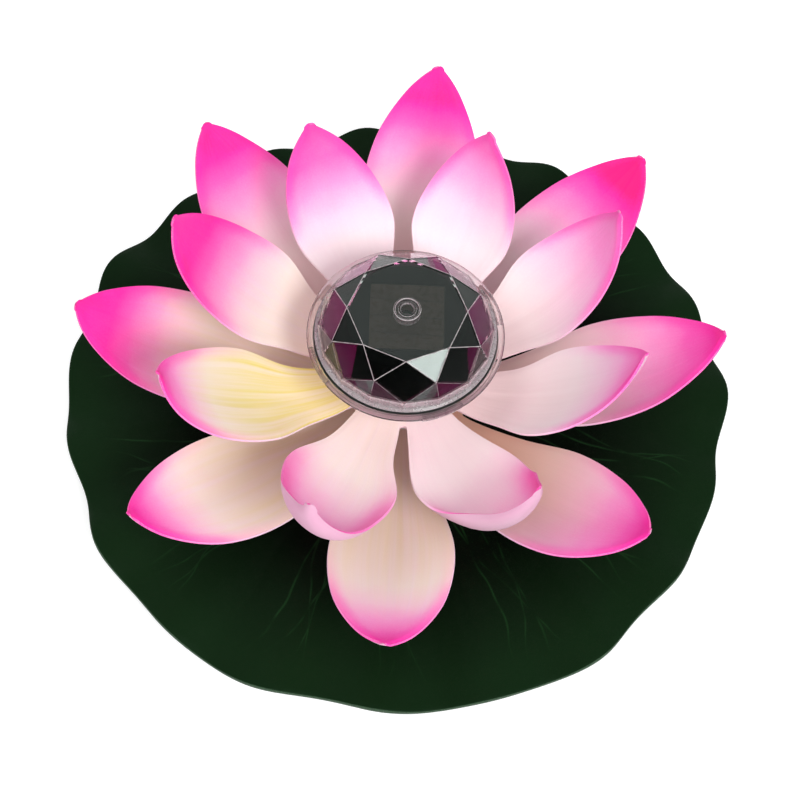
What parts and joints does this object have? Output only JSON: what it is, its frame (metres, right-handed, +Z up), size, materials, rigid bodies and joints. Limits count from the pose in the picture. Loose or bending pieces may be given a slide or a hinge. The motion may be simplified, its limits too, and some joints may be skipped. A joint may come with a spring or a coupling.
{
  "type": "floating pool light",
  "caption": "Solar floating pool light: faceted clear lens over a solar cell, foam lotus petals and lily pad clamped on a buoyant base with battery cap, button and mooring ring.",
  "frame": {"origin": "centre of the base's flat foot, on the lamp's axis", "axes": "+Z up along the lamp's axis; -X runs from the axis towards the mooring ring"},
  "size_m": [0.2826, 0.2822, 0.1051],
  "materials": {
    "clear_lens": "polished clear acrylic",
    "seal_rubber": "matte",
    "black_plastic": "satin",
    "screw_steel": "satin",
    "solar_glass": "smooth epoxy over silicon",
    "led_resin": "clear resin",
    "tinned_wire": "tinned",
    "board_laminate": "solder resist",
    "ferrite": "matte",
    "sleeve_plastic": "shrink sleeve",
    "wire_red": "insulated",
    "wire_black": "insulated",
    "wire_yellow": "insulated",
    "bowl_plastic": "translucent white",
    "white_plastic": "moulded",
    "battery_sleeve": "shrink sleeve",
    "contact_brass": "plated",
    "petal_foam_inner": "satin foam, sprayed pink at the tips",
    "petal_foam_outer": "satin foam, sprayed pink at the tips",
    "pad_foam": "satin foam",
    "float_foam": "closed-cell foam",
    "button_red": "satin",
    "spring_steel": "drawn wire"
  },
  "bodies": {
    "lamp": {"lens_cover": "clear_lens", "lens_seal": "seal_rubber", "panel_carrier": "black_plastic", "carrier_screws": "screw_steel", "solar_cell": "solar_glass", "led": "led_resin", "led_leads": "tinned_wire", "circuit_board": "board_laminate", "driver_chip": "black_plastic", "inductor": "ferrite", "capacitor": "sleeve_plastic", "solar_wire_pos": "wire_red", "solar_wire_neg": "wire_black", "battery_wire_pos": "wire_red", "battery_wire_neg": "wire_black", "switch_wires": "wire_yellow", "lamp_bowl": "bowl_plastic", "battery_holder": "white_plastic", "battery_cell": "battery_sleeve", "battery_contact": "contact_brass", "contact_ring": "contact_brass", "inner_petals": "petal_foam_inner", "petal_spacer": "white_plastic", "outer_petals": "petal_foam_outer", "lily_pad": "pad_foam", "clamp_nut": "white_plastic", "base_shell": "white_plastic", "float_ring": "float_foam", "base_seal": "seal_rubber", "base_cover": "white_plastic", "cover_screws": "screw_steel", "switch_board": "board_laminate", "switch_body": "black_plastic", "mooring_pin": "screw_steel"},
    "cap_seal": {"cap_gasket": "seal_rubber"},
    "cap": {"battery_cap": "white_plastic", "contact_cup": "contact_brass", "battery_spring": "spring_steel"},
    "button": {"power_button": "button_red", "switch_plunger": "button_red"},
    "mooring": {"mooring_ring": "white_plastic"}
  },
  "joints": [
    {"name": "cap_unscrew_lift", "type": "slide", "parent": "lamp", "child": "cap_seal", "axis": [0, 0, -1], "range_m": [0, 0.006]},
    {"name": "cap_unscrew_turn", "type": "hinge", "parent": "cap_seal", "child": "cap", "pos_m": [0, 0, 0.002], "axis": [0, 0, 1], "range_deg": [-1080, 0]},
    {"name": "button_press", "type": "slide", "parent": "lamp", "child": "button", "axis": [0, 0, 1], "range_m": [0, 0.0012], "stiffness_N_per_m": 1500},
    {"name": "mooring_fold", "type": "hinge", "parent": "lamp", "child": "mooring", "pos_m": [-0.0475, 0, 0.007], "axis": [0, -1, 0], "range_deg": [0, 90]}
  ],
  "couplings": [
    {"joint": "cap_unscrew_lift", "follows": "cap_unscrew_turn", "m_per_rad": -0.00031831}
  ]
}
